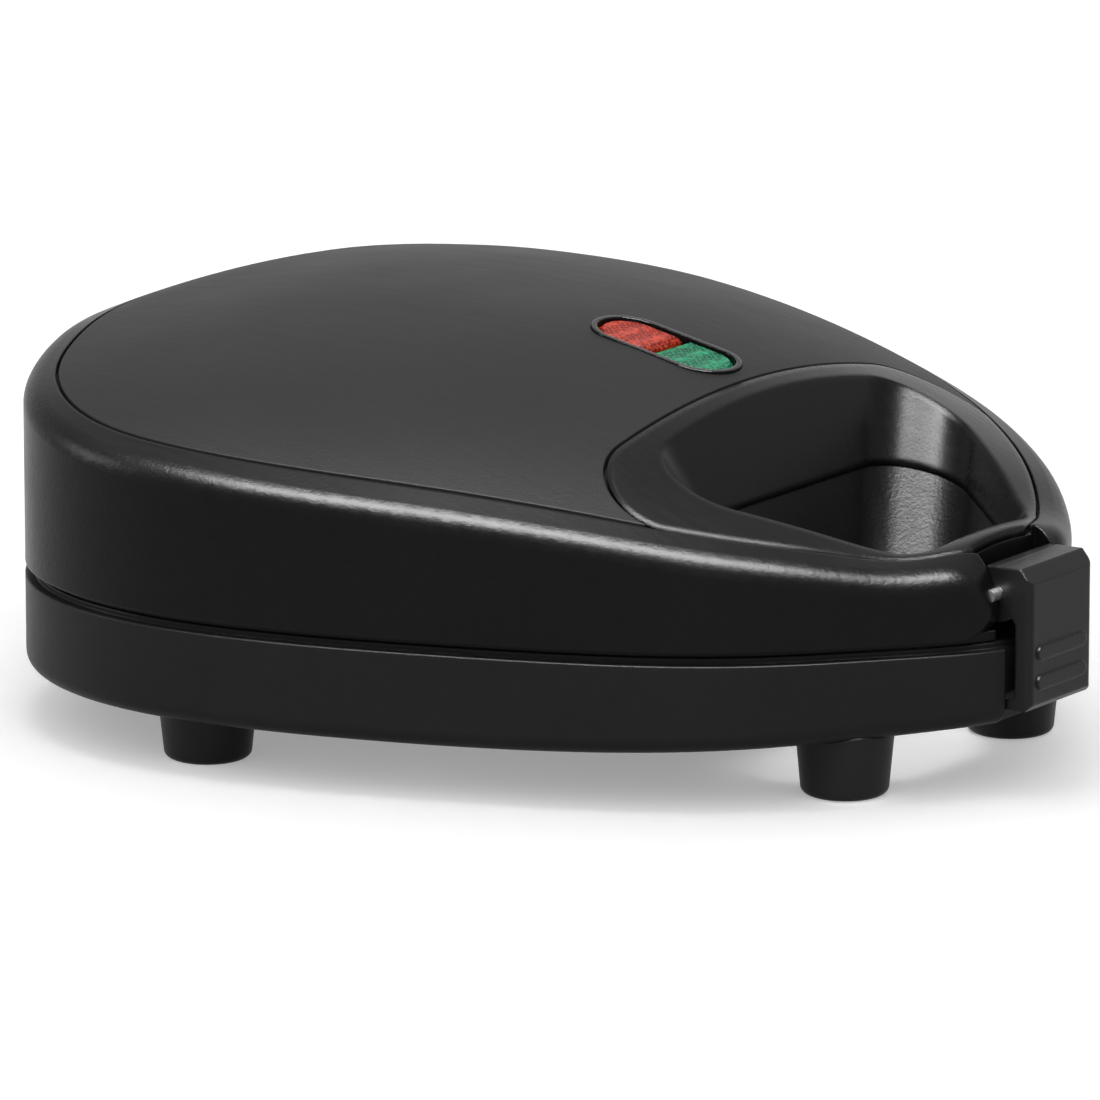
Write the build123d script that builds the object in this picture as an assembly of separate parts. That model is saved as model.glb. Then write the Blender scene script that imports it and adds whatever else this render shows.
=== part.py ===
from build123d import *
import math
import os

# Sandwich maker with a hinged lid, a finger opening through the handle and a clip latch.
# Millimetres. While it is modelled, Y runs from the nose (0) back to the hinge and Z is 0 at
# the seam between lid and base. The last section moves the whole object so that it stands on
# Z 0 with the middle of its footprint at the origin.

# Plan outline of the body, right half from the nose tip to the middle of the back
OUTLINE = [(0, 0), (33, 14.5), (64, 43), (94, 98), (111, 148), (114, 188), (100, 221), (68, 243), (0, 258)]
BODY_BACK = OUTLINE[-1][1]
INSET_POINTS = 32

# Lid surface, as heights above the seam along Y: the crown in the middle, and the flank
CROWN = [(-8, 16.5), (12, 18.5), (36, 27), (60, 38.5), (86, 48.5), (125, 56), (170, 58), (215, 56), (262, 48)]
FLANK = [(-8, 13), (12, 15), (36, 21), (60, 25), (86, 28.5), (125, 33.5), (170, 38), (215, 39), (262, 36)]
SURFACE_HALF = [(-8, 24), (12, 38), (36, 62), (60, 80), (86, 94), (125, 109), (170, 119), (215, 119), (262, 119)]
FLANK_ROLL = [(-8, 0.5), (12, 0.5), (60, 1.5), (125, 4), (262, 5.5)]
SHOULDER_RADIUS = 6.0

# Seam between the two halves
SEAM_GAP = 3.2
SEAM = SEAM_GAP / 2
LIP_INSET = 2.4
LIP_THICK = 2.0
LIP_CLEAR = 0.2

# Walls
WALL = 2.6
DECK = 2.6
PANEL_THICK = 2.4
PANEL_INSET = 7.6
GROOVE = 0.9
LEDGE = 6.0
EDGE_BREAK = 0.5
CAVITY_FRONT = 96

# Underside of the base
BASE_DEPTH = 24.0
NOSE_DEPTH = 17.5
FLAT_FROM = 110
BASE_ROUND = 4.0

# Bottom cover
COVER_INSET = 11.0
COVER_THICK = 2.0
COVER_FRONT = 104

# Feet
FOOT_HEIGHT = 36.0 - BASE_DEPTH
FOOT_TOP_RADIUS = 11.8
FOOT_LOW_RADIUS = 10.2
FOOT_ROUND = 1.8
REAR_FOOT = (97, 170)
FRONT_FOOT = (34, 32)

# Finger opening: corners at the seam, and how they move with each millimetre of height
HOLE_BACK = 66
HOLE_BACK_HALF = 52
HOLE_FRONT = 29
HOLE_FRONT_HALF = 15
HOLE_RADIUS = 13
FLARE_BACK = 0.28
FLARE_BACK_HALF = 0.36
FLARE_FRONT = -0.54
FLARE_FRONT_HALF = 0.38
FLARE_RADIUS = 0.06
BASE_DRAFT = 0.02

# Handle bezel that lines the opening in the lid
BEZEL_BACK = 84
BEZEL_BACK_HALF = 73
BEZEL_SIDE = 40
BEZEL_SIDE_HALF = 61
BEZEL_CORNER = 17
BEZEL_WALL = 2.2
BEZEL_RIM = 2.6
BEZEL_LIP_BACK = 25
BEZEL_LIP_FRONT = 7
BEZEL_STEP = 0.6

# Indicator lights
LAMP_Y = 108
LAMP_LENGTH = 40
LAMP_WIDTH = 19
LAMP_RIM = 1.3
LAMP_DEPTH = 10
LAMP_FLOOR = 1.2
LENS_SINK = 0.4
LENS_GAP = 2.0
LAMP_FLANGE = 1.5
LENS_CLEAR = 0.25
LENS_DROP = 1.2
BULB_RADIUS = 2.2

# Latch clip and its pin
LATCH_HALF = 12.8
LATCH_CLEAR = 0.6
LATCH_FACE = -5.0
LATCH_THICK = 4.2
LATCH_TOP = 17.8
LATCH_DROP = 16.0
LATCH_PIVOT_Y = 4.5
LATCH_PIVOT_Z = 11.0
LATCH_BARREL = 6.6
LATCH_PIN_RADIUS = 1.5
LATCH_PIN_LENGTH = 32
PIN_FIT = 0.05
HOOK_HEIGHT = 3.2
HOOK_REACH = 2.6
CATCH_GAP = 0.3
RIB_COUNT = 2

# Hinges
HINGE_GAP = 1.5
HINGE_Y = BODY_BACK + HINGE_GAP
HINGE_Z = 8.0
HINGE_INNER = 22
EAR_THICK = 6.0
LUG_WIDTH = 10.4
HINGE_CLEAR = 0.5
EAR_RADIUS = 7.0
LUG_RADIUS = 5.6
HINGE_PIN_RADIUS = 2.0
HINGE_SWEEP = 8.2
HINGE_BLOCK_DEPTH = 17.5
FAIRING_START = 18.6
FAIRING_BACK = 5.2

# Cooking plates, seen from above
PLATE_WIDTH = 200
PLATE_LENGTH = 132
PLATE_FRONT = 102
PLATE_CORNER = 36
PLATE_FLANGE = 2.2
PLATE_GAP = 0.25
PLATE_SEAT = 4.0
PLATE_CLEAR = 0.4
POCKET_DEPTH = 8.6
POCKET_FLOOR = 1.6
POCKET_MARGIN = 9.0
POCKET_RIDGE = 5.0
POCKET_MIDDLE = 9.0
POCKET_ROUND = 6.0
POCKET_DRAFT = 16

# Heating elements, reflectors and the small parts behind the plates
ELEMENT_RADIUS = 3.2
ELEMENT_BEND = 14
SEAT = 0.3
TRAY_THICK = 0.8
TRAY_RIM = 5.0
SCREW_RADIUS = 1.6
SCREW_HEAD = 3.2
SCREW_HEAD_HEIGHT = 1.4
BOSS_RADIUS = 3.8

PLATE_SCREWS = (PLATE_FRONT + 5.5, PLATE_FRONT + PLATE_LENGTH - 5.5)
PLATE_SCREW_LENGTH = 8
POCKET_CORNER = 30
ELEMENT_HALF = 66
ELEMENT_END = 12
ELEMENT_TAIL = 8
ELEMENT_BACK = 28
ELEMENT_FRONT = 30
TRAY_SIDE = 1.0
DECK_POST_X = (-60, 60)
LID_POST = 20
COVER_SCREWS = [(-78, 122), (78, 122), (-62, 226), (62, 226)]
VENT_ROWS = 5
VENT_PITCH = 9
VENT_LENGTH = 46
VENT_WIDTH = 2.4
THERMOSTAT = (0, PLATE_FRONT + 66)
TERMINAL_Y = 240
PIN_BLIND = 1.5
COVER_SCREW_LENGTH = 4.4
RIB_LENGTH = 20
RIB_HEIGHT = 3.4
RIB_RISE = 0.5
RIB_LOW = -9.5
RIB_PITCH = 7
LENS_BOTTOM = 2.6

# Cord inlet
INLET_Z = -12.5
INLET_BORE = (5.6, 3.4)
INLET_COLLAR = (13, 9)
INLET_FLANGE = (17, 12)

PLATE_MIDDLE = PLATE_FRONT + PLATE_LENGTH / 2
PLATE_BACK = PLATE_FRONT + PLATE_LENGTH


def along(line, y):
    """Height of a smooth line through its (y, height) points, at one y."""
    last = len(line) - 2
    span = next((i for i in range(last) if y <= line[i + 1][0]), last)

    def slope(i):
        low = max(i - 1, 0)
        high = min(i + 1, len(line) - 1)
        return (line[high][1] - line[low][1]) / (line[high][0] - line[low][0])

    (y0, z0), (y1, z1) = line[span], line[span + 1]
    width = y1 - y0
    t = (y - y0) / width
    start = (1 + 2 * t) * (1 - t) ** 2 * z0 + t * (1 - t) ** 2 * width * slope(span)
    end = t * t * (3 - 2 * t) * z1 + t * t * (t - 1) * width * slope(span + 1)
    return start + end


def block(x0, x1, y0, y1, z0, z1):
    """Box between two corners."""
    middle = ((x0 + x1) / 2, (y0 + y1) / 2, (z0 + z1) / 2)
    return Pos(*middle) * Box(x1 - x0, y1 - y0, z1 - z0)


def rod(radius, x0, x1, y, z):
    """Round bar along X."""
    return Pos((x0 + x1) / 2, y, z) * Rot(0, 90, 0) * Cylinder(radius, x1 - x0)


def both_sides(solid):
    """A piece and its mirror image across the middle of the object."""
    return solid + mirror(solid, about=Plane.YZ)


# Plan outline and the surface of the lid

left_half = [(-x, y) for x, y in OUTLINE[-2:0:-1]]
rim_line = Spline(*OUTLINE, *left_half, periodic=True)
outline = make_face(rim_line)


def inset(amount):
    """The plan outline, drawn in by a distance."""
    points = []
    for step in range(INSET_POINTS):
        here = rim_line.position_at(step / INSET_POINTS)
        ahead = rim_line.tangent_at(step / INSET_POINTS)
        points.append((here.X - ahead.Y * amount, here.Y + ahead.X * amount))
    return make_face(Spline(*points, periodic=True))


def prism(face, z0, z1):
    """A face in plan, drawn up from one height to another."""
    return extrude(Pos(0, 0, z0) * face, amount=z1 - z0)


def lid_height(u, y):
    """Height of the lid at a share u of the way from its middle to its side."""
    crown = along(CROWN, y)
    return crown - (crown - along(FLANK, y)) * u ** 2 - along(FLANK_ROLL, y) * u ** 8


across = [i / 6 for i in range(-6, 7)]
lid_length = CROWN[-1][0] - CROWN[0][0]
stations = [CROWN[0][0] + lid_length * i / 18 for i in range(19)]
surface_points = [[Vector(u * along(SURFACE_HALF, y), y, lid_height(u, y)) for u in across] for y in stations]
lid_surface = Face.make_surface_from_array_of_points(surface_points, tol=0.05, min_deg=3, max_deg=8)


def under_lid(drop):
    """Everything below the lid's surface, lowered by a distance."""
    return Solid.extrude(Pos(0, 0, -drop) * lid_surface, Vector(0, 0, -120))


def hole_outline(z, grow):
    """The finger opening in plan at one height."""
    flare = z if z > 0 else -z * BASE_DRAFT
    back = HOLE_BACK + FLARE_BACK * flare
    back_half = HOLE_BACK_HALF + FLARE_BACK_HALF * flare
    front = HOLE_FRONT + FLARE_FRONT * flare
    front_half = HOLE_FRONT_HALF + FLARE_FRONT_HALF * flare
    corners = [(-back_half, back), (back_half, back), (front_half, front), (-front_half, front)]
    shape = make_face(Polyline(*corners, close=True))
    shape = fillet(shape.vertices(), HOLE_RADIUS + FLARE_RADIUS * flare)
    return Pos(0, 0, z) * (offset(shape, amount=grow) if grow else shape)


def hole(z0, z1, grow=0):
    """The finger opening as a flared solid between two heights on one side of the seam."""
    return loft([hole_outline(z0, grow), hole_outline(z1, grow)], ruled=True)


# Cooking plates: a flange with two pockets, each cut across by a sealing ridge

plate_outline = Pos(0, PLATE_MIDDLE) * RectangleRounded(PLATE_WIDTH, PLATE_LENGTH, PLATE_CORNER)


def rounded(width, length, corner, middle_x=0.0):
    """Rounded rectangle in plan, centred on the plates."""
    return Pos(middle_x, PLATE_MIDDLE) * RectangleRounded(width, length, corner)


pocket_width = (PLATE_WIDTH - 2 * POCKET_MARGIN - POCKET_MIDDLE) / 2
pocket_length = PLATE_LENGTH - 2 * POCKET_MARGIN
pocket_middle = (pocket_width + POCKET_MIDDLE) / 2
plate_top = -PLATE_GAP
flange_bottom = plate_top - PLATE_FLANGE
pocket_bottom = plate_top - POCKET_DEPTH - POCKET_FLOOR


def pocket_triangles(side):
    """The two bread triangles of one pocket, seen from above."""
    x0 = side * POCKET_MIDDLE / 2
    x1 = side * (POCKET_MIDDLE / 2 + pocket_width)
    y0 = PLATE_MIDDLE - pocket_length / 2
    y1 = PLATE_MIDDLE + pocket_length / 2
    cut = POCKET_RIDGE * math.hypot(pocket_width, pocket_length) / pocket_length / 2 * side
    rise = POCKET_RIDGE * math.hypot(pocket_width, pocket_length) / pocket_width / 2
    front = [(x0 + 2 * cut, y0), (x1, y0), (x1, y1 - 2 * rise)]
    back = [(x0, y0 + 2 * rise), (x1 - 2 * cut, y1), (x0, y1)]
    faces = []
    for corners in (front, back):
        triangle = make_face(Polyline(*corners, close=True))
        faces.append(fillet(triangle.vertices(), POCKET_ROUND))
    return faces


def cooking_plate():
    """The lower plate, pockets upward."""
    plate = prism(plate_outline, flange_bottom, plate_top)
    for side in (-1, 1):
        bowl = rounded(pocket_width + 3, pocket_length + 3, POCKET_CORNER, side * pocket_middle)
        plate += extrude(Pos(0, 0, flange_bottom) * bowl, amount=pocket_bottom - flange_bottom, taper=POCKET_DRAFT)
    for side in (-1, 1):
        for triangle in pocket_triangles(side):
            plate -= extrude(Pos(0, 0, plate_top) * triangle, amount=-POCKET_DEPTH, taper=POCKET_DRAFT)
    for y in PLATE_SCREWS:
        plate -= Pos(0, y, plate_top - PLATE_FLANGE) * Cylinder(SCREW_RADIUS + PIN_FIT, 4 * PLATE_FLANGE)
        plate -= Pos(0, y, plate_top) * Cylinder(SCREW_HEAD + PIN_FIT, 2 * SCREW_HEAD_HEIGHT)
    return plate


def heating_element():
    """Tubular element in a single loop under the plate, with both ends to the back."""
    level = pocket_bottom - ELEMENT_RADIUS - SEAT
    out = ELEMENT_HALF
    end_x = ELEMENT_END
    back = PLATE_BACK - ELEMENT_TAIL
    near = PLATE_BACK - ELEMENT_BACK
    far = PLATE_FRONT + ELEMENT_FRONT
    route = [(-end_x, back), (-end_x, near), (-out, near), (-out, far), (out, far), (out, near)]
    route += [(end_x, near), (end_x, back)]
    path = FilletPolyline(*[(x, y, level) for x, y in route], radius=ELEMENT_BEND)
    section = Plane(path @ 0, z_dir=path % 0) * Circle(ELEMENT_RADIUS)
    return sweep(section, path=path)


tray_top = pocket_bottom - 2 * ELEMENT_RADIUS - 2 * SEAT
tray_bottom = tray_top - TRAY_THICK


def reflector():
    """Pressed tray under the element, open towards the plate."""
    width = PLATE_WIDTH - 2 * PLATE_SEAT - 2 * TRAY_SIDE
    length = PLATE_LENGTH - 2 * PLATE_SEAT - 2 * TRAY_SIDE
    corner = PLATE_CORNER - PLATE_SEAT - TRAY_SIDE
    tray = prism(rounded(width, length, corner), tray_bottom, tray_top + TRAY_RIM)
    inner = rounded(width - 2 * TRAY_THICK, length - 2 * TRAY_THICK, corner - TRAY_THICK)
    tray -= prism(inner, tray_top, tray_top + TRAY_RIM)
    for y in PLATE_SCREWS:
        tray -= Pos(0, y, tray_bottom) * Cylinder(BOSS_RADIUS + SEAT, 20)
    tray -= block(-ELEMENT_END - 6, ELEMENT_END + 6, PLATE_BACK - 14, PLATE_BACK, tray_top, tray_top + 2 * TRAY_RIM)
    return tray


def plate_screws():
    """Two countersunk screws that hold a plate from its cooking side."""
    screws = Part()
    for y in PLATE_SCREWS:
        screws += Pos(0, y, plate_top - SCREW_HEAD_HEIGHT / 2) * Cylinder(SCREW_HEAD, SCREW_HEAD_HEIGHT)
        shank = PLATE_SCREW_LENGTH
        screws += Pos(0, y, plate_top - SCREW_HEAD_HEIGHT - shank / 2) * Cylinder(SCREW_RADIUS, shank)
    for y in PLATE_SCREWS:
        screws -= block(-SCREW_HEAD, SCREW_HEAD, y - 0.4, y + 0.4, plate_top - 0.7, plate_top + 1)
    return screws


lower_plate = cooking_plate()
lower_element = heating_element()
lower_reflector = reflector()
lower_plate_screws = plate_screws()
upper_plate = mirror(lower_plate, about=Plane.XY)
upper_element = mirror(lower_element, about=Plane.XY)
upper_reflector = mirror(lower_reflector, about=Plane.XY)
upper_plate_screws = mirror(lower_plate_screws, about=Plane.XY)


def plate_seat():
    """What a plate takes out of the deck that carries it, on the lower side of the seam."""
    seat = offset(plate_outline, amount=PLATE_CLEAR)
    opening = offset(plate_outline, amount=-PLATE_SEAT)
    return prism(seat, flange_bottom, 1) + prism(opening, -SEAM - DECK - 1, 0)


def lip():
    """Raised lip just inside the seam, on the lower side."""
    ring = prism(inset(LIP_INSET), -SEAM - 1, -LIP_CLEAR)
    return ring - prism(inset(LIP_INSET + LIP_THICK), -SEAM - 2, 1)


def boss_posts(end):
    """Posts behind a plate that take its screws, down to a given depth."""
    posts = Part()
    for y in PLATE_SCREWS:
        height = flange_bottom - end
        posts += Pos(0, y, flange_bottom - height / 2) * Cylinder(BOSS_RADIUS, height)
    return posts


def screw_holes():
    """Holes for the plate screws, on the lower side of the seam."""
    holes = Part()
    for y in PLATE_SCREWS:
        holes += Pos(0, y, flange_bottom) * Cylinder(SCREW_RADIUS + PIN_FIT, 2 * PLATE_SCREW_LENGTH)
    return holes


def bracket_space(side):
    """Room round one hinge bracket, above the base."""
    x0, x1 = sorted((side * (HINGE_INNER - HINGE_CLEAR), side * (hinge_outer + HINGE_CLEAR)))
    return block(x0, x1, HINGE_Y - EAR_RADIUS - HINGE_CLEAR, HINGE_Y + 20, -SEAM, HINGE_Z)


# Base housing

base_profile = Polyline((-20, -SEAM), (BODY_BACK + 20, -SEAM), (BODY_BACK + 20, -BASE_DEPTH), (FLAT_FROM, -BASE_DEPTH))
nose_arc = TangentArc((FLAT_FROM, -BASE_DEPTH), (-20, -NOSE_DEPTH), tangent=(-1, 0))
closing = Line((-20, -NOSE_DEPTH), (-20, -SEAM))
base_side = make_face([*base_profile.edges(), nose_arc.edge(), closing.edge()])
base_block = extrude(Plane.YZ * base_side, amount=140, both=True)
base_outer = prism(outline, -40, 10) & base_block
lower_edges = base_outer.edges().filter_by(lambda e: e.bounding_box().max.Z < -SEAM - 5)
base_outer = fillet(lower_edges, BASE_ROUND)

cavity_zone = block(-140, 140, CAVITY_FRONT, 300, -60, 90)
hinge_outer = HINGE_INNER + 2 * EAR_THICK + LUG_WIDTH + 2 * HINGE_CLEAR
hinge_front = BODY_BACK - 14


def hinge_base(side):
    """Block on the back wall of the base that one hinge stands on."""
    x0, x1 = sorted((side * HINGE_INNER, side * hinge_outer))
    foot = block(x0, x1, hinge_front, HINGE_Y + EAR_RADIUS, -HINGE_BLOCK_DEPTH, -SEAM)
    return fillet(foot.edges().filter_by(Axis.X).group_by(Axis.Z)[0].sort_by(Axis.Y)[-1], 4)


def base_housing():
    """Lower housing: outer wall, deck round the plate, solid handle and hinge blocks."""
    body = base_outer + lip()
    body -= prism(inset(WALL), -BASE_DEPTH + WALL, -SEAM - DECK) & cavity_zone
    body -= plate_seat()
    for side in (-1, 1):
        body += hinge_base(side)
        body -= bracket_space(side)
    body += boss_posts(-BASE_DEPTH + 1) & cavity_zone
    for x in DECK_POST_X:
        for y in (PLATE_FRONT + 30, PLATE_BACK - 30):
            body += Pos(x, y, 0) * block(-4, 4, -4, 4, -BASE_DEPTH + 1, tray_bottom)
    body -= hole(0, -BASE_DEPTH - 4)
    body -= block(-LATCH_HALF - LATCH_CLEAR, LATCH_HALF + LATCH_CLEAR, -20, catch_front, -60, 5)
    body -= block(-LATCH_HALF - LATCH_CLEAR, LATCH_HALF + LATCH_CLEAR, 0, catch_front + HOOK_REACH, -60,
                  -LATCH_DROP + HOOK_HEIGHT + CATCH_GAP)
    body -= Pos(0, BODY_BACK, INLET_Z) * Box(INLET_COLLAR[0] + 0.2, 30, INLET_COLLAR[1] + 0.2)
    for x, y in COVER_SCREWS:
        body += cover_boss(x, y)
        body -= Pos(x, y, -BASE_DEPTH) * Cylinder(SCREW_RADIUS + PIN_FIT, 2 * COVER_SCREW_LENGTH)
    return body - screw_holes()


def cover_boss(x, y):
    """Post inside the base that takes one screw of the bottom cover."""
    height = tray_bottom - SEAT + BASE_DEPTH - 1
    return Pos(x, y, -BASE_DEPTH + 1 + height / 2) * Cylinder(BOSS_RADIUS, height)


catch_front = LATCH_FACE + LATCH_THICK + HOOK_REACH + CATCH_GAP


def bottom_cover():
    """Flat cover under the base, with notches for the rear feet."""
    plan = inset(COVER_INSET) & Pos(0, COVER_FRONT + 150) * Rectangle(300, 300)
    cover = prism(plan, -BASE_DEPTH - COVER_THICK, -BASE_DEPTH)
    for side in (-1, 1):
        cover -= Pos(side * REAR_FOOT[0], REAR_FOOT[1], -BASE_DEPTH) * Cylinder(FOOT_TOP_RADIUS + 1, 10)
    for x, y in COVER_SCREWS:
        cover -= Pos(x, y, -BASE_DEPTH) * Cylinder(SCREW_RADIUS + PIN_FIT, 10)
        cover -= Pos(x, y, -BASE_DEPTH - COVER_THICK) * Cylinder(SCREW_HEAD + PIN_FIT, 2 * SCREW_HEAD_HEIGHT)
    for row in range(VENT_ROWS):
        y = PLATE_MIDDLE + (row - (VENT_ROWS - 1) / 2) * VENT_PITCH
        cover -= Pos(0, y, -BASE_DEPTH) * extrude(SlotOverall(VENT_LENGTH, VENT_WIDTH), amount=5, both=True)
    return cover


def cover_screws():
    """Round-headed screws of the bottom cover, flush in its underside."""
    screws = Part()
    for x, y in COVER_SCREWS:
        low = -BASE_DEPTH - COVER_THICK
        screws += Pos(x, y, low + SCREW_HEAD_HEIGHT / 2) * Cylinder(SCREW_HEAD, SCREW_HEAD_HEIGHT)
        shank = COVER_SCREW_LENGTH - 1
        screws += Pos(x, y, low + SCREW_HEAD_HEIGHT + shank / 2) * Cylinder(SCREW_RADIUS, shank)
        screws -= block(x - SCREW_HEAD, x + SCREW_HEAD, y - 0.4, y + 0.4, low - 1, low + 0.6)
        screws -= block(x - 0.4, x + 0.4, y - SCREW_HEAD, y + SCREW_HEAD, low - 1, low + 0.6)
    return screws


def base_underside(x, y):
    """Height of the underside of the base at one point."""
    return -BASE_DEPTH if y > FLAT_FROM else base_curve(y)


def base_curve(y):
    """Height of the underside where it rises to the nose."""
    run = FLAT_FROM + 20
    rise = BASE_DEPTH - NOSE_DEPTH
    radius = (run ** 2 + rise ** 2) / (2 * rise)
    return -BASE_DEPTH + radius - math.sqrt(radius ** 2 - (FLAT_FROM - y) ** 2)


def foot(x, y):
    """Tapered round foot, hollow from above, with a rounded lower rim."""
    low = -BASE_DEPTH - FOOT_HEIGHT
    top = base_underside(x, y) + 3
    profile = Polyline((0, low), (FOOT_LOW_RADIUS, low), (FOOT_TOP_RADIUS, top), (0, top), close=True)
    face = make_face(profile)
    rim = face.vertices().sort_by(Axis.Y)[0:2].sort_by(Axis.X)[-1]
    face = fillet(rim, FOOT_ROUND)
    body = Pos(x, y) * revolve(Plane.XZ * face, axis=Axis.Z)
    return body - base_outer


def feet():
    """All four feet by name."""
    made = {}
    for word, side in (("left", -1), ("right", 1)):
        made["foot_front_" + word] = foot(side * FRONT_FOOT[0], FRONT_FOOT[1])
        made["foot_rear_" + word] = foot(side * REAR_FOOT[0], REAR_FOOT[1])
    return made


def cord_inlet():
    """Bush in the back wall with an oval bore for a flat two-core cord."""
    wall = BODY_BACK
    width, height = INLET_COLLAR
    bush = Pos(0, wall - 4, INLET_Z) * Box(width, 12, height)
    flange_width, flange_height = INLET_FLANGE
    bush += Pos(0, wall + 1.5, INLET_Z) * Box(flange_width, 2.4, flange_height)
    bush = fillet(bush.edges().filter_by(Axis.Y), 1.5)
    bore = Pos(0, wall, INLET_Z) * Rot(90, 0, 0) * SlotOverall(*INLET_BORE)
    return bush - extrude(bore, amount=30, both=True)


# Hinges

def hinge_bracket(side):
    """Fork that stands on the base and holds one hinge pin."""
    ear_spans = [(HINGE_INNER, HINGE_INNER + EAR_THICK), (hinge_outer - EAR_THICK, hinge_outer)]
    bracket = Part()
    for inner, outer in ear_spans:
        x0, x1 = sorted((side * inner, side * outer))
        bracket += block(x0, x1, HINGE_Y - EAR_RADIUS, HINGE_Y + EAR_RADIUS, -SEAM, HINGE_Z)
        bracket += rod(EAR_RADIUS, x0, x1, HINGE_Y, HINGE_Z)
    x0, x1 = sorted((side * HINGE_INNER, side * hinge_outer))
    bracket += block(x0, x1, HINGE_Y - EAR_RADIUS, HINGE_Y + EAR_RADIUS, -SEAM, -SEAM + 2.2)
    pin_start, pin_end = sorted((side * (HINGE_INNER - 1), side * (hinge_outer - PIN_BLIND)))
    return bracket - rod(HINGE_PIN_RADIUS + PIN_FIT, pin_start, pin_end, HINGE_Y, HINGE_Z)


def hinge_pin(side):
    """Steel pin of one hinge, pushed in from the inner side."""
    x0, x1 = sorted((side * (HINGE_INNER + 0.5), side * (hinge_outer - PIN_BLIND)))
    return rod(HINGE_PIN_RADIUS, x0, x1, HINGE_Y, HINGE_Z)


def hinge_lug(side):
    """Lug on the back of the lid that turns on one hinge pin."""
    inner = HINGE_INNER + EAR_THICK + HINGE_CLEAR
    x0, x1 = sorted((side * inner, side * (inner + LUG_WIDTH)))
    lug = rod(LUG_RADIUS, x0, x1, HINGE_Y, HINGE_Z)
    lug += block(x0, x1, hinge_front + 4, HINGE_Y, HINGE_Z - LUG_RADIUS + 0.4, HINGE_Z + LUG_RADIUS)
    return lug - rod(HINGE_PIN_RADIUS + PIN_FIT, x0 - 1, x1 + 1, HINGE_Y, HINGE_Z)


def hinge_fairing(side):
    """Raised pad on the back of the lid that covers one hinge from above."""
    back = HINGE_Y + FAIRING_BACK
    profile = Polyline((BODY_BACK - 26, FAIRING_START), (back, FAIRING_START), (back - 1, FAIRING_START + 8))
    sweep_up = Spline((back - 1, FAIRING_START + 8), (back - 7, FAIRING_START + 22), (BODY_BACK - 26, 52.5),
                      tangents=[(-0.12, 1), (-1, 0.25)])
    closing_line = Line((BODY_BACK - 26, 52.5), (BODY_BACK - 26, FAIRING_START))
    face = make_face([*profile.edges(), sweep_up.edge(), closing_line.edge()])
    x0, x1 = sorted((side * (HINGE_INNER - 0.5), side * (hinge_outer + 0.5)))
    return Pos(x0, 0, 0) * extrude(Plane.YZ * face, amount=x1 - x0)


# Lid

lid_block = prism(outline, SEAM, 90) & under_lid(0)
lid_outer = fillet(lid_block.faces().sort_by(Axis.Z)[-1].edges(), SHOULDER_RADIUS)
panel_area = inset(PANEL_INSET)


def bezel_area(grow):
    """Plan of the handle bezel, before it meets the edge of the top."""
    corners = [(-BEZEL_BACK_HALF, BEZEL_BACK), (BEZEL_BACK_HALF, BEZEL_BACK)]
    corners += [(BEZEL_SIDE_HALF, BEZEL_SIDE), (BEZEL_SIDE_HALF, -30)]
    corners += [(-BEZEL_SIDE_HALF, -30), (-BEZEL_SIDE_HALF, BEZEL_SIDE)]
    shape = make_face(Polyline(*corners, close=True))
    rear = shape.vertices().group_by(Axis.Y)[-1]
    shape = fillet(rear, BEZEL_CORNER)
    return offset(shape, amount=grow) if grow else shape


def lip_plane(drop):
    """Everything above the slanted line where the bezel's funnel ends."""
    side = Polyline((-30, BEZEL_LIP_FRONT - drop), (0, BEZEL_LIP_FRONT - drop), (BEZEL_BACK, BEZEL_LIP_BACK - drop),
                    (130, BEZEL_LIP_BACK - drop), (130, 120), (-30, 120), close=True)
    return extrude(Plane.YZ * make_face(side), amount=140, both=True)


def latch_notch():
    """Slot in the nose of the lid for the latch."""
    return block(-LATCH_HALF - LATCH_CLEAR, LATCH_HALF + LATCH_CLEAR, -20, notch_back, -20, 60)


notch_back = LATCH_PIVOT_Y + LATCH_BARREL + LATCH_CLEAR
skin = lid_outer - under_lid(PANEL_THICK)


def lid_shell():
    """Lid housing: side wall and shoulder, seat for the panel, deck round the plate."""
    body = lid_outer + mirror(lip(), about=Plane.XY)
    body -= prism(panel_area, 0, 90) - under_lid(PANEL_THICK)
    hollow = (prism(inset(WALL), SEAM + DECK, 90) & under_lid(PANEL_THICK + WALL)) & cavity_zone
    hollow += (prism(inset(PANEL_INSET + LEDGE), SEAM + DECK, 90)) & cavity_zone
    body -= hollow
    body -= mirror(plate_seat(), about=Plane.XY)
    for side in (-1, 1):
        fairing = hinge_fairing(side)
        body += fairing - prism(inset(WALL), 0, 90)
        x0, x1 = sorted((side * (HINGE_INNER - HINGE_CLEAR), side * (hinge_outer + HINGE_CLEAR)))
        body -= rod(HINGE_SWEEP, x0, x1, HINGE_Y, HINGE_Z)
        body -= bracket_space(side)
        body += hinge_lug(side)
    body += mirror(boss_posts(-LID_POST), about=Plane.XY) & cavity_zone
    body -= hole(0, 62, BEZEL_WALL + 0.1) & lip_plane(0.3)
    body -= hole(0, 62, BEZEL_STEP)
    body -= latch_notch()
    body -= lamp_slot(LAMP_FLANGE + SEAT) - lamp_place * block(-60, 60, -60, 60, -60, -LAMP_DEPTH - SEAT)
    body -= mirror(screw_holes(), about=Plane.XY)
    body -= rod(LATCH_PIN_RADIUS + PIN_FIT, -LATCH_PIN_LENGTH / 2, LATCH_PIN_LENGTH / 2, LATCH_PIVOT_Y,
                LATCH_PIVOT_Z)
    return body


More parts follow.
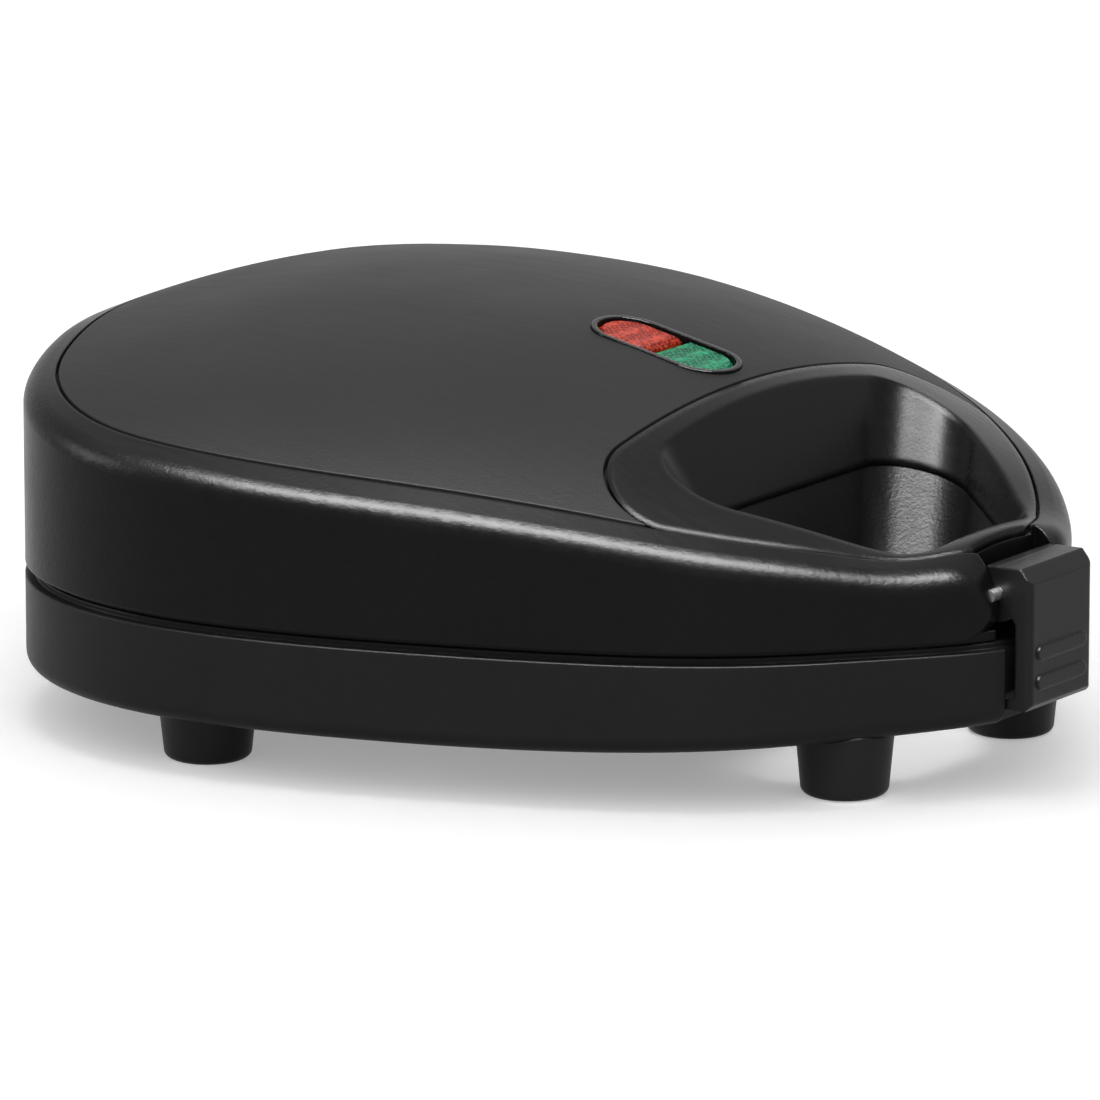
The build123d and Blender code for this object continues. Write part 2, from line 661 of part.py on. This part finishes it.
def top_panel():
    """Matt panel on the top of the lid, behind the handle bezel."""
    zone = inset(PANEL_INSET + GROOVE)
    plate = (skin & prism(zone, 0, 90)) - prism(bezel_area(GROOVE), 0, 90)
    plate -= lamp_slot(0.15)
    return plate


def handle_bezel():
    """Glossy funnel round the finger opening, with the top of the handle."""
    cover = skin & prism(inset(PANEL_INSET + GROOVE), 0, 90) & prism(bezel_area(0), 0, 90)
    funnel = (hole(0, 62, BEZEL_WALL) & lip_plane(0)) & lid_outer
    bezel = cover + funnel
    bezel -= hole(0, 62)
    return bezel - latch_notch()


# Indicator lights

lamp_top = along(CROWN, LAMP_Y)
lamp_tilt = math.degrees(math.atan2(along(CROWN, LAMP_Y + 15) - along(CROWN, LAMP_Y - 15), 30))
lamp_place = Pos(0, LAMP_Y, lamp_top) * Rot(lamp_tilt, 0, 0) * Rot(0, 0, 90)


def lamp_slot(grow):
    """Rounded slot in the top panel that takes the lamp holder."""
    slot = SlotOverall(LAMP_LENGTH + 2 * grow, LAMP_WIDTH + 2 * grow)
    return lamp_place * extrude(slot, amount=20, both=True)


def lamp_holder():
    """Glossy black cup with two openings for the lenses."""
    outer = extrude(SlotOverall(LAMP_LENGTH, LAMP_WIDTH), amount=-LAMP_DEPTH)
    inner_slot = SlotOverall(LAMP_LENGTH - 2 * LAMP_RIM, LAMP_WIDTH - 2 * LAMP_RIM)
    inner = extrude(inner_slot, amount=-LAMP_DEPTH + LAMP_FLOOR)
    flange = extrude(SlotOverall(LAMP_LENGTH + 2 * LAMP_FLANGE, LAMP_WIDTH + 2 * LAMP_FLANGE), amount=LAMP_FLOOR)
    cup = outer - inner + Pos(0, 0, -LAMP_DEPTH) * flange
    return lamp_place * cup


def lens(side):
    """One lens: half of a rounded slot with a domed, softly faceted top."""
    length = LAMP_LENGTH - 2 * LAMP_RIM - 2 * LENS_CLEAR
    width = LAMP_WIDTH - 2 * LAMP_RIM - 2 * LENS_CLEAR
    depth = LAMP_DEPTH - LAMP_FLOOR - SEAT - LENS_SINK
    half = block(LENS_GAP / 2, LAMP_LENGTH, -LAMP_WIDTH, LAMP_WIDTH, -20, 20)
    body = extrude(SlotOverall(length, width), amount=-depth) & half
    body = chamfer(body.faces().sort_by(Axis.Z)[-1].edges(), LENS_DROP)
    body -= block(LENS_GAP / 2 + 1.5, length / 2 - 3, -width / 2 + 2, width / 2 - 2, -20, -LENS_BOTTOM)
    turn = Rot(0, 0, 0 if side > 0 else 180)
    return lamp_place * turn * Pos(0, 0, -LENS_SINK) * body


def bulb(side):
    """Small neon bulb lying under one lens."""
    middle = side * (LAMP_LENGTH / 4)
    shape = Rot(0, 90, 0) * Cylinder(BULB_RADIUS, 7)
    shape = fillet(shape.edges(), 1.2)
    return lamp_place * Pos(middle, 0, -LAMP_DEPTH + LAMP_FLOOR + BULB_RADIUS + SEAT) * shape


# Latch

def latch_clip():
    """Clip that turns on the lid and hooks under the base."""
    front = LATCH_FACE
    inner = front + LATCH_THICK
    low = -LATCH_DROP
    hook_y = inner + HOOK_REACH
    corners = [(front, low + 1.5), (front + 1.5, low), (hook_y, low), (hook_y, low + HOOK_HEIGHT - 1)]
    corners += [(inner, low + HOOK_HEIGHT), (inner, LATCH_PIVOT_Z - LATCH_BARREL), (LATCH_PIVOT_Y, LATCH_PIVOT_Z)]
    corners += [(LATCH_PIVOT_Y + 3, LATCH_TOP - 0.4), (front + 3, LATCH_TOP), (front, LATCH_TOP - 3.4)]
    side = make_face(Polyline(*corners, close=True))
    clip = extrude(Plane.YZ * side, amount=LATCH_HALF, both=True)
    clip += rod(LATCH_BARREL, -LATCH_HALF, LATCH_HALF, LATCH_PIVOT_Y, LATCH_PIVOT_Z)
    clip = fillet(clip.edges().filter_by(Axis.Z).group_by(Axis.Y)[0], 1.6)
    for row in range(RIB_COUNT):
        z = RIB_LOW + row * RIB_PITCH
        rib = Pos(0, front, z) * Rot(90, 0, 0) * SlotOverall(RIB_LENGTH, RIB_HEIGHT)
        clip += extrude(rib, amount=RIB_RISE)
    return clip - rod(LATCH_PIN_RADIUS + PIN_FIT, -LATCH_HALF - 1, LATCH_HALF + 1, LATCH_PIVOT_Y, LATCH_PIVOT_Z)


def latch_pin():
    """Steel pin that the latch turns on."""
    half = LATCH_PIN_LENGTH / 2 - 0.2
    return rod(LATCH_PIN_RADIUS, -half, half, LATCH_PIVOT_Y, LATCH_PIVOT_Z)


# Small parts inside

def thermostat():
    """Round bimetal thermostat clipped to the back of the lower reflector."""
    x, y = THERMOSTAT
    level = tray_bottom - SEAT
    body = Pos(x, y, level - 1.2) * Cylinder(6, 2.4)
    return body


def terminal_block():
    """Connector block for the cord, on the floor of the base behind the reflector."""
    low = -BASE_DEPTH + WALL
    body = Pos(0, TERMINAL_Y, low + 3) * Box(16, 7, 6)
    for x in (-4, 4):
        body -= Pos(x, TERMINAL_Y, low + 3.4) * Rot(90, 0, 0) * Cylinder(1.3, 20)
    return body


# Everything in its own file, standing on the ground with the origin under its middle

parts = {
    "base_housing": base_housing(),
    "bottom_cover": bottom_cover(),
    "bottom_cover_screws": cover_screws(),
    **feet(),
    "cord_inlet": cord_inlet(),
    "hinge_bracket_left": hinge_bracket(-1),
    "hinge_bracket_right": hinge_bracket(1),
    "hinge_pin_left": hinge_pin(-1),
    "hinge_pin_right": hinge_pin(1),
    "lower_plate": lower_plate,
    "lower_plate_screws": lower_plate_screws,
    "lower_element": lower_element,
    "lower_reflector": lower_reflector,
    "thermostat": thermostat(),
    "terminal_block": terminal_block(),
    "lid_shell": lid_shell(),
    "top_panel": top_panel(),
    "handle_bezel": handle_bezel(),
    "lamp_holder": lamp_holder(),
    "red_lens": lens(1),
    "green_lens": lens(-1),
    "red_lamp": bulb(1),
    "green_lamp": bulb(-1),
    "upper_plate": upper_plate,
    "upper_plate_screws": upper_plate_screws,
    "upper_element": upper_element,
    "upper_reflector": upper_reflector,
    "latch_clip": latch_clip(),
    "latch_pin": latch_pin(),
}

front_most = LATCH_FACE - RIB_RISE
back_most = HINGE_Y + EAR_RADIUS
stand = Pos(0, -(front_most + back_most) / 2, BASE_DEPTH + FOOT_HEIGHT)

os.makedirs("parts", exist_ok=True)
for name, solid in parts.items():
    export_step(stand * solid, "parts/" + name + ".step")
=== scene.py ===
import bpy
import math
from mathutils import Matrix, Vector

# Sandwich maker with a hinged lid, standing closed on a white table.
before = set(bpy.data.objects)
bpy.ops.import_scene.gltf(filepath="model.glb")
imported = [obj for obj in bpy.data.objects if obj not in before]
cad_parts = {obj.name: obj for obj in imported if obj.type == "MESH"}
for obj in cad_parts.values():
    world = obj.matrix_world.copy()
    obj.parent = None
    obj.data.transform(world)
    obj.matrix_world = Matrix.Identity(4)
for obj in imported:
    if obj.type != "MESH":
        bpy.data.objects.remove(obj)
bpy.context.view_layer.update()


# Camera
# A long lens looks at the near side and the top from a little above, with the handle at the
# right. Angles are in degrees, from the front of the handle and from the table.

VIEW_TURN = -53.36
VIEW_RISE = 14.30
VIEW_DISTANCE = 2.6000
VIEW_AIM = Vector((-0.00743, 0.00627, 0.03628))
LENS = 357.3
SENSOR = 36
FURTHEST_SEEN = 50

turn = math.radians(VIEW_TURN)
rise = math.radians(VIEW_RISE)
towards_eye = Vector((
    math.sin(turn) * math.cos(rise),
    -math.cos(turn) * math.cos(rise),
    math.sin(rise)))
camera = bpy.data.cameras.new("camera")
camera.lens = LENS
camera.sensor_width = SENSOR
camera.clip_end = FURTHEST_SEEN
eye = bpy.data.objects.new("camera", camera)
eye.location = VIEW_AIM + towards_eye * VIEW_DISTANCE
eye.rotation_euler = towards_eye.to_track_quat("Z", "Y").to_euler()
bpy.context.scene.collection.objects.link(eye)
bpy.context.scene.camera = eye
bpy.context.scene.view_settings.view_transform = "Standard"


# Studio light
# A softbox over the lid lights it plainly. Two strips show only as gloss: one hangs over the
# near side and draws the bright line along the shoulder, and a low one stands behind at the
# left for the gloss of the rear corner.

LIT_POINT = (0, 0, 0.05)
CORNER_POINT = (-0.08, 0.08, 0.05)


def softbox(name, place, looks_at, width, length, watts, only_gloss=False):
    """A rectangular lamp: its width lies across the line from its foot to what it looks at."""
    lamp = bpy.data.lights.new(name, "AREA")
    lamp.shape = "RECTANGLE"
    lamp.size = width
    lamp.size_y = length
    lamp.energy = watts
    stand = bpy.data.objects.new(name, lamp)
    stand.location = place
    away = Vector(place) - Vector(looks_at)
    stand.rotation_euler = away.to_track_quat("Z", "Y").to_euler()
    stand.visible_diffuse = not only_gloss
    bpy.context.scene.collection.objects.link(stand)


softbox("overhead", (0.10, 0.20, 1.20), LIT_POINT, width=0.50, length=0.50, watts=3.0)
softbox("shoulder_strip", (-0.42, -0.24, 1.00), LIT_POINT, width=1.35, length=0.55,
        watts=230.0, only_gloss=True)
softbox("corner_strip", (-0.75, 1.05, 0.42), CORNER_POINT, width=0.25, length=0.50,
        watts=7.0, only_gloss=True)


# Table and background
# A white sweep: the table keeps the soft shadow under the feet, and everything behind it is
# plain white.

TABLE_HALF = 6.0
TABLE_WHITE = (0.86, 0.86, 0.86, 1)
TABLE_ROUGHNESS = 0.9
TABLE_SHOWN = 0.30
AIR_LIGHT = 0.78


class Value:
    """One socket of a material. Sums and products of sockets are written as expressions."""

    def __init__(self, finish, socket):
        self.finish = finish
        self.socket = socket

    def maths(self, operation, first, second):
        inputs = {"Value": first, "Value_001": second}
        return self.finish.node("ShaderNodeMath", {"operation": operation}, inputs)

    def __add__(self, other):
        return self.maths("ADD", self, other)

    def __radd__(self, other):
        return self.maths("ADD", other, self)

    def __sub__(self, other):
        return self.maths("SUBTRACT", self, other)

    def __rsub__(self, other):
        return self.maths("SUBTRACT", other, self)

    def __mul__(self, other):
        return self.maths("MULTIPLY", self, other)

    def __rmul__(self, other):
        return self.maths("MULTIPLY", other, self)


class Finish:
    """One material and the nodes that it is made of."""

    def __init__(self, name):
        self.material = bpy.data.materials.new(name)
        self.material.use_nodes = True
        self.tree = self.material.node_tree
        self.surface = self.tree.nodes["Principled BSDF"]

    def feed(self, node, inputs):
        """Puts values or links on a node's sockets, by socket name or identifier."""
        for name, value in inputs.items():
            socket = next(s for s in node.inputs if name in (s.identifier, s.name))
            if isinstance(value, Value):
                self.tree.links.new(value.socket, socket)
            else:
                socket.default_value = value

    def node(self, kind, settings=None, inputs=None, output=None):
        """Adds a node: its settings first, then its sockets. Gives its named or first output."""
        made = self.tree.nodes.new(kind)
        for name, value in (settings or {}).items():
            if name == "stops":
                ramp = made.color_ramp.elements
                while len(ramp) < len(value):
                    ramp.new(0.5)
                for stop, (place, colour) in zip(ramp, value):
                    stop.position = place
                    stop.color = colour
            else:
                setattr(made, name, value)
        self.feed(made, inputs or {})
        named = [s for s in made.outputs if output in (s.identifier, s.name)]
        return Value(self, named[0] if named else made.outputs[0])

    def surfaced(self, **inputs):
        """Sets the main shader's sockets; an underscore in a name stands for a space."""
        self.feed(self.surface, {name.replace("_", " "): value for name, value in inputs.items()})


def backdrop_rays(finish):
    """1 for the rays that look at the background: from the camera, gloss or glass."""
    paths = [finish.node("ShaderNodeLightPath", output=name)
             for name in ("Is Camera Ray", "Is Glossy Ray", "Is Transmission Ray")]
    either = {"operation": "ADD", "use_clamp": True}
    two = finish.node("ShaderNodeMath", either, {"Value": paths[0], "Value_001": paths[1]})
    return finish.node("ShaderNodeMath", either, {"Value": two, "Value_001": paths[2]})


class Air(Finish):
    """The world's own node tree, with the same way of adding nodes."""

    def __init__(self, name):
        world = bpy.data.worlds.new(name)
        world.use_nodes = True
        bpy.context.scene.world = world
        self.tree = world.node_tree
        self.surface = self.tree.nodes["Background"]


air = Air("white_room")
air.surfaced(Color=(1, 1, 1, 1), Strength=AIR_LIGHT + (1 - AIR_LIGHT) * backdrop_rays(air))

far = TABLE_HALF
mesh = bpy.data.meshes.new("table")
mesh.from_pydata([(-far, -far, 0), (far, -far, 0), (far, far, 0), (-far, far, 0)], [], [(0, 1, 2, 3)])
table = bpy.data.objects.new("table", mesh)
bpy.context.scene.collection.objects.link(table)
sweep = Finish("table_white")
shown = backdrop_rays(sweep)
sweep.surfaced(
    Base_Color=TABLE_WHITE,
    Roughness=TABLE_ROUGHNESS,
    Specular_IOR_Level=0.0,
    Emission_Strength=TABLE_SHOWN,
    Emission_Color=sweep.node("ShaderNodeCombineColor", None, {
        "Red": shown, "Green": shown, "Blue": shown}))
table.data.materials.append(sweep.material)


# Lid housing
# One injection-moulded shell of black ABS. Its side wall and shoulder are satin from an etched
# mould with a leathery grain, and hands and cloths rub the edges a little smoother.

SHELL_BLACK = (0.0032, 0.0032, 0.0034, 1)
SHELL_RUBBED = (0.010, 0.010, 0.0105, 1)

CLOUD_SCALE = 22.0
WIPING = (900.0, 40.0, 300.0)
WIPING_TURN = (0.2, 0.3, 0.6)


def moulded(name, colour, rubbed, roughness, grain, relief, gloss, edge):
    """Moulded plastic: etched grain, cloudy roughness, fine wiping marks and rubbed edges.

    The grain's width, its relief and the radius of an edge are in metres.
    """
    finish = Finish(name)
    place = finish.node("ShaderNodeTexCoord", output="Object")
    etched = finish.node("ShaderNodeTexNoise", None, {
        "Vector": place, "Scale": 1 / grain, "Detail": 3.0, "Roughness": 0.65})
    cloud = finish.node("ShaderNodeTexNoise", None, {
        "Vector": place, "Scale": CLOUD_SCALE, "Detail": 4.0, "Roughness": 0.55})
    stretched = finish.node("ShaderNodeMapping", None, {
        "Vector": place, "Rotation": WIPING_TURN, "Scale": WIPING})
    wiped = finish.node("ShaderNodeTexNoise", None, {
        "Vector": stretched, "Scale": 1.0, "Detail": 2.0, "Roughness": 0.5})
    rounded = finish.node("ShaderNodeBevel", {"samples": 6}, {"Radius": edge})
    flat = finish.node("ShaderNodeNewGeometry", output="Normal")
    facing = finish.node("ShaderNodeVectorMath", {"operation": "DOT_PRODUCT"}, {
        "Vector": rounded, "Vector_001": flat}, output="Value")
    worn = finish.node("ShaderNodeMapRange", None, {
        "Value": facing, "From Min": 0.998, "From Max": 0.90, "To Min": 0.0, "To Max": 1.0})
    rubbing = worn * (0.35 + 0.9 * cloud)
    tint = finish.node("ShaderNodeMix", {"data_type": "RGBA"}, {
        "Factor_Float": 0.5 * rubbing + 0.22 * etched, "A_Color": colour, "B_Color": rubbed},
        output="Result_Color")
    finish.surfaced(
        Base_Color=tint,
        Roughness=roughness + 0.16 * (cloud - 0.5) + 0.10 * (wiped - 0.5) - 0.10 * rubbing,
        Specular_IOR_Level=gloss,
        Normal=finish.node("ShaderNodeBump", None, {
            "Height": 0.85 * etched + 0.15 * wiped, "Strength": 0.5, "Distance": relief,
            "Normal": rounded}))
    return finish


def dress(finish, *names):
    """Gives CAD nodes a finish."""
    for name in names:
        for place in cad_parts[name].material_slots:
            place.material = finish.material


shell = moulded("shell_satin_black", SHELL_BLACK, SHELL_RUBBED, roughness=0.31, grain=0.0009,
                relief=0.00018, gloss=0.080, edge=0.0007)
dress(shell, "lid_shell")


# Top panel
# A separate dark grey sheet, moulded with a fine, dull grain, that snaps into the top of the
# lid and leaves a thin groove round it.

PANEL_GREY = (0.017, 0.017, 0.0175, 1)
PANEL_RUBBED = (0.034, 0.034, 0.035, 1)

panel = moulded("panel_matt_grey", PANEL_GREY, PANEL_RUBBED, roughness=0.50, grain=0.00080,
                relief=0.00022, gloss=0.06, edge=0.0005)
dress(panel, "top_panel")


# Handle bezel
# The funnel round the finger opening is moulded smoother than the lid, with a soft rounded
# rim where the hand goes in.

BEZEL_BLACK = (0.0035, 0.0035, 0.0038, 1)
BEZEL_RUBBED = (0.009, 0.009, 0.0095, 1)

bezel = moulded("bezel_smooth_black", BEZEL_BLACK, BEZEL_RUBBED, roughness=0.28, grain=0.00080,
                relief=0.00006, gloss=0.09, edge=0.0024)
dress(bezel, "handle_bezel")


# Indicator lights
# A smooth black cup holds a red and a green lens of clear tinted acrylic, moulded with small
# pyramids on the inside that break up the light of the neon bulb under each of them. The light
# of the bulb is painted: lit facets and glints in the lens's colour, and a painted glow.

CUP_BLACK = (0.006, 0.006, 0.0065, 1)
CUP_RUBBED = (0.012, 0.012, 0.012, 1)
LENS_PITCH = 0.0011
LENS_TURN = 0.66

# Painted light: the bright colours are facets painted as lit by the bulb, the glint colours painted
# glints.
RED_DEEP = (0.14, 0.004, 0.002, 1)
RED_PAINTED_LIT = (0.78, 0.035, 0.015, 1)
RED_PAINTED_GLINT = (1.0, 0.30, 0.02, 1)
GREEN_DEEP = (0.0003, 0.06, 0.025, 1)
GREEN_PAINTED_LIT = (0.002, 0.42, 0.19, 1)
GREEN_PAINTED_GLINT = (0.05, 0.8, 0.45, 1)

cup = moulded("lamp_cup_gloss", CUP_BLACK, CUP_RUBBED, roughness=0.16, grain=0.0008,
              relief=0.00001, gloss=0.12, edge=0.0006)
dress(cup, "lamp_holder")


def acrylic(name, deep, painted_lit, painted_glint, painted_glow):
    """Tinted lens: rows of pyramids under a smooth face, with painted bulb glints and a painted glow.
    """
    finish = Finish(name)
    place = finish.node("ShaderNodeTexCoord", output="Object")
    turned = finish.node("ShaderNodeMapping", None, {
        "Vector": place, "Rotation": (0.0, 0.0, LENS_TURN)})
    prisms = finish.node("ShaderNodeTexVoronoi", {"distance": "CHEBYCHEV"}, {
        "Vector": turned, "Scale": 1 / LENS_PITCH, "Randomness": 0.35})
    streaks = finish.node("ShaderNodeTexNoise", None, {
        "Vector": turned, "Scale": 420.0, "Detail": 3.0, "Roughness": 0.7})
    # Painted light: facets that catch the bulb's light are painted brighter in the colour.
    lights = finish.node("ShaderNodeMapRange", None, {
        "Value": prisms * 0.9 + streaks * 0.4, "From Min": 0.38, "From Max": 0.80})
    colour = finish.node("ShaderNodeMix", {"data_type": "RGBA"}, {
        "Factor_Float": lights, "A_Color": deep, "B_Color": painted_lit}, output="Result_Color")
    # A painted glint of the bulb, given out as a painted glow by the emission below.
    painted_glint_colour = finish.node("ShaderNodeMix", {"data_type": "RGBA"}, {
        "Factor_Float": lights * lights, "A_Color": deep, "B_Color": painted_glint}, output="Result_Color")
    finish.surfaced(
        Base_Color=colour,
        Roughness=0.22 + 0.12 * streaks,
        Specular_IOR_Level=0.08,
        Emission_Color=painted_glint_colour,
        Emission_Strength=painted_glow,
        Normal=finish.node("ShaderNodeBump", None, {
            "Height": prisms, "Strength": 0.8, "Distance": 0.0006}))
    return finish


# Both lenses glow with painted light, though no lamp is lit in them.
dress(acrylic("lens_red", RED_DEEP, RED_PAINTED_LIT, RED_PAINTED_GLINT, painted_glow=0.16), "red_lens")
dress(acrylic("lens_green", GREEN_DEEP, GREEN_PAINTED_LIT, GREEN_PAINTED_GLINT, painted_glow=0.06), "green_lens")

GLASS_SMOKED = (0.75, 0.72, 0.68, 1)
GLASS_CLEAR = (0.9, 0.88, 0.85, 1)

glass = Finish("bulb_glass")
smoke = glass.node("ShaderNodeTexNoise", None, {
    "Vector": glass.node("ShaderNodeTexCoord", output="Object"), "Scale": 900.0, "Detail": 2.0})
glass.surfaced(
    Base_Color=glass.node("ShaderNodeMix", {"data_type": "RGBA"}, {
        "Factor_Float": smoke, "A_Color": GLASS_SMOKED, "B_Color": GLASS_CLEAR},
        output="Result_Color"),
    Roughness=0.05 + 0.10 * smoke,
    Transmission_Weight=0.6)
dress(glass, "red_lamp", "green_lamp")


# Latch
# A smooth black clip, moulded with two raised grip ribs, that turns on a steel pin through
# the nose of the lid.

LATCH_BLACK = (0.006, 0.006, 0.0063, 1)
LATCH_RUBBED = (0.014, 0.014, 0.0145, 1)
PIN_GREY = (0.56, 0.56, 0.57, 1)
DULLED = 0.6

latch = moulded("latch_satin_black", LATCH_BLACK, LATCH_RUBBED, roughness=0.34, grain=0.00080,
                relief=0.00008, gloss=0.14, edge=0.0009)
dress(latch, "latch_clip")


def steel(name, colour, roughness, lines_per_metre):
    """Drawn or turned steel with fine lines, set closest along one axis, and dull spots."""
    finish = Finish(name)
    place = finish.node("ShaderNodeTexCoord", output="Object")
    lines = finish.node("ShaderNodeTexNoise", None, {
        "Vector": finish.node("ShaderNodeMapping", None, {"Vector": place, "Scale": lines_per_metre}),
        "Scale": 1.0, "Detail": 2.0, "Roughness": 0.5})
    spots = finish.node("ShaderNodeTexNoise", None, {
        "Vector": place, "Scale": 260.0, "Detail": 4.0, "Roughness": 0.6})
    dull = finish.node("ShaderNodeMapRange", None, {
        "Value": spots, "From Min": 0.55, "From Max": 0.75})
    darker = tuple(DULLED * part for part in colour[:3]) + (1,)
    finish.surfaced(
        Base_Color=finish.node("ShaderNodeMix", {"data_type": "RGBA"}, {
            "Factor_Float": dull, "A_Color": colour, "B_Color": darker}, output="Result_Color"),
        Metallic=1.0,
        Roughness=roughness + 0.15 * lines + 0.2 * dull,
        Normal=finish.node("ShaderNodeBump", None, {
            "Height": lines, "Strength": 0.3, "Distance": 0.00004}))
    return finish


pin_steel = steel("pin_steel", PIN_GREY, 0.22, (4000.0, 300.0, 300.0))
dress(pin_steel, "latch_pin")


# Base housing
# The lower shell, with the deck round the cooking plate, the solid front of the handle and the
# blocks that the hinges stand on. The same plastic as the lid, with a duller finish.

BASE_BLACK = (0.0105, 0.0105, 0.0108, 1)
BASE_RUBBED = (0.014, 0.014, 0.0145, 1)

base = moulded("base_satin_black", BASE_BLACK, BASE_RUBBED, roughness=0.42, grain=0.00090,
               relief=0.00010, gloss=0.07, edge=0.0007)
dress(base, "base_housing")


# Hinges
# Two forked brackets stand on the base, and each holds a steel pin that a lug of the lid
# turns on.

dress(base, "hinge_bracket_left", "hinge_bracket_right")
dress(pin_steel, "hinge_pin_left", "hinge_pin_right")


# Feet
# Four tapered feet of the same plastic, left dull by a coarser mould.

FOOT_BLACK = (0.005, 0.005, 0.0052, 1)
FOOT_RUBBED = (0.016, 0.016, 0.016, 1)

feet = moulded("foot_dull_black", FOOT_BLACK, FOOT_RUBBED, roughness=0.45, grain=0.0006,
               relief=0.00008, gloss=0.14, edge=0.0008)
dress(feet, "foot_front_left", "foot_front_right", "foot_rear_left", "foot_rear_right")


# Bottom cover
# A flat plate with vents, held by four screws. It is plain grained plastic that nobody sees
# in use.

COVER_BLACK = (0.015, 0.015, 0.0155, 1)
COVER_RUBBED = (0.03, 0.03, 0.031, 1)
ZINC_GREY = (0.50, 0.50, 0.49, 1)

cover = moulded("cover_grained_black", COVER_BLACK, COVER_RUBBED, roughness=0.55, grain=0.0009,
                relief=0.00018, gloss=0.25, edge=0.0005)
dress(cover, "bottom_cover")

zinc = steel("screw_zinc", ZINC_GREY, 0.30, (600.0, 600.0, 3000.0))
dress(zinc, "bottom_cover_screws", "lower_plate_screws", "upper_plate_screws")


# Cord inlet and terminals
# A bush of black plastic lines the hole for the cord, and a white ceramic block behind it
# takes the two cores.

CERAMIC_GREY = (0.72, 0.70, 0.65, 1)
CERAMIC_WHITE = (0.82, 0.81, 0.78, 1)

dress(cover, "cord_inlet")

ceramic = Finish("terminal_ceramic")
chalk = ceramic.node("ShaderNodeTexNoise", None, {
    "Vector": ceramic.node("ShaderNodeTexCoord", output="Object"), "Scale": 500.0, "Detail": 4.0})
ceramic.surfaced(
    Base_Color=ceramic.node("ShaderNodeMix", {"data_type": "RGBA"}, {
        "Factor_Float": chalk, "A_Color": CERAMIC_GREY, "B_Color": CERAMIC_WHITE},
        output="Result_Color"),
    Roughness=0.35 + 0.25 * chalk,
    Normal=ceramic.node("ShaderNodeBump", None, {
        "Height": chalk, "Strength": 0.3, "Distance": 0.0001}))
dress(ceramic, "terminal_block")


# Cooking plates
# Cast aluminium with a sprayed non-stick coating: nearly black, with a fine orange-peel
# surface and pale flecks, and scuffed brighter on the ridges where the bread is cut.

COAT_BLACK = (0.012, 0.012, 0.013, 1)
COAT_SCUFFED = (0.22, 0.21, 0.20, 1)
RIDGE_RADIUS = 0.0012

coating = Finish("plate_coating")
where = coating.node("ShaderNodeTexCoord", output="Object")
peel = coating.node("ShaderNodeTexNoise", None, {
    "Vector": where, "Scale": 1400.0, "Detail": 2.0, "Roughness": 0.5})
flecks = coating.node("ShaderNodeTexVoronoi", None, {
    "Vector": where, "Scale": 650.0, "Randomness": 1.0})
fleck = coating.node("ShaderNodeMapRange", None, {
    "Value": flecks, "From Min": 0.16, "From Max": 0.05})
stain = coating.node("ShaderNodeTexNoise", None, {
    "Vector": where, "Scale": 30.0, "Detail": 5.0, "Roughness": 0.6})
ridge = coating.node("ShaderNodeBevel", {"samples": 6}, {"Radius": RIDGE_RADIUS})
turned_away = coating.node("ShaderNodeVectorMath", {"operation": "DOT_PRODUCT"}, {
    "Vector": ridge, "Vector_001": coating.node("ShaderNodeNewGeometry", output="Normal")},
    output="Value")
scuffed = coating.node("ShaderNodeMapRange", None, {
    "Value": turned_away, "From Min": 0.995, "From Max": 0.90})
coat = coating.node("ShaderNodeMix", {"data_type": "RGBA"}, {
    "Factor_Float": 0.25 * fleck + 0.30 * scuffed * stain + 0.08 * stain,
    "A_Color": COAT_BLACK, "B_Color": COAT_SCUFFED}, output="Result_Color")
coating.surfaced(
    Base_Color=coat,
    Roughness=0.30 + 0.18 * stain + 0.08 * peel,
    Specular_IOR_Level=0.45,
    Normal=coating.node("ShaderNodeBump", None, {
        "Height": peel, "Strength": 0.35, "Distance": 0.00008, "Normal": ridge}))
dress(coating, "lower_plate", "upper_plate")


# Heating elements and trays
# Under each plate lies a tube heater, blued by its own heat, in a pressed tray of bright
# aluminised steel. The thermostat's can is of the same steel.

HEATER_BROWN = (0.16, 0.13, 0.11, 1)
HEATER_BLUE = (0.10, 0.11, 0.14, 1)
TRAY_GREY = (0.62, 0.62, 0.61, 1)

heater = Finish("heater_sheath")
along = heater.node("ShaderNodeTexCoord", output="Object")
heat = heater.node("ShaderNodeTexNoise", None, {
    "Vector": along, "Scale": 45.0, "Detail": 4.0, "Roughness": 0.6})
heater.surfaced(
    Base_Color=heater.node("ShaderNodeValToRGB", {
        "stops": [(0.30, HEATER_BROWN), (0.60, HEATER_BLUE)]}, {"Fac": heat}),
    Metallic=1.0,
    Roughness=0.42 + 0.22 * heat)
dress(heater, "lower_element", "upper_element")

tray = steel("tray_aluminised", TRAY_GREY, 0.28, (250.0, 2500.0, 250.0))
dress(tray, "lower_reflector", "upper_reflector", "thermostat")
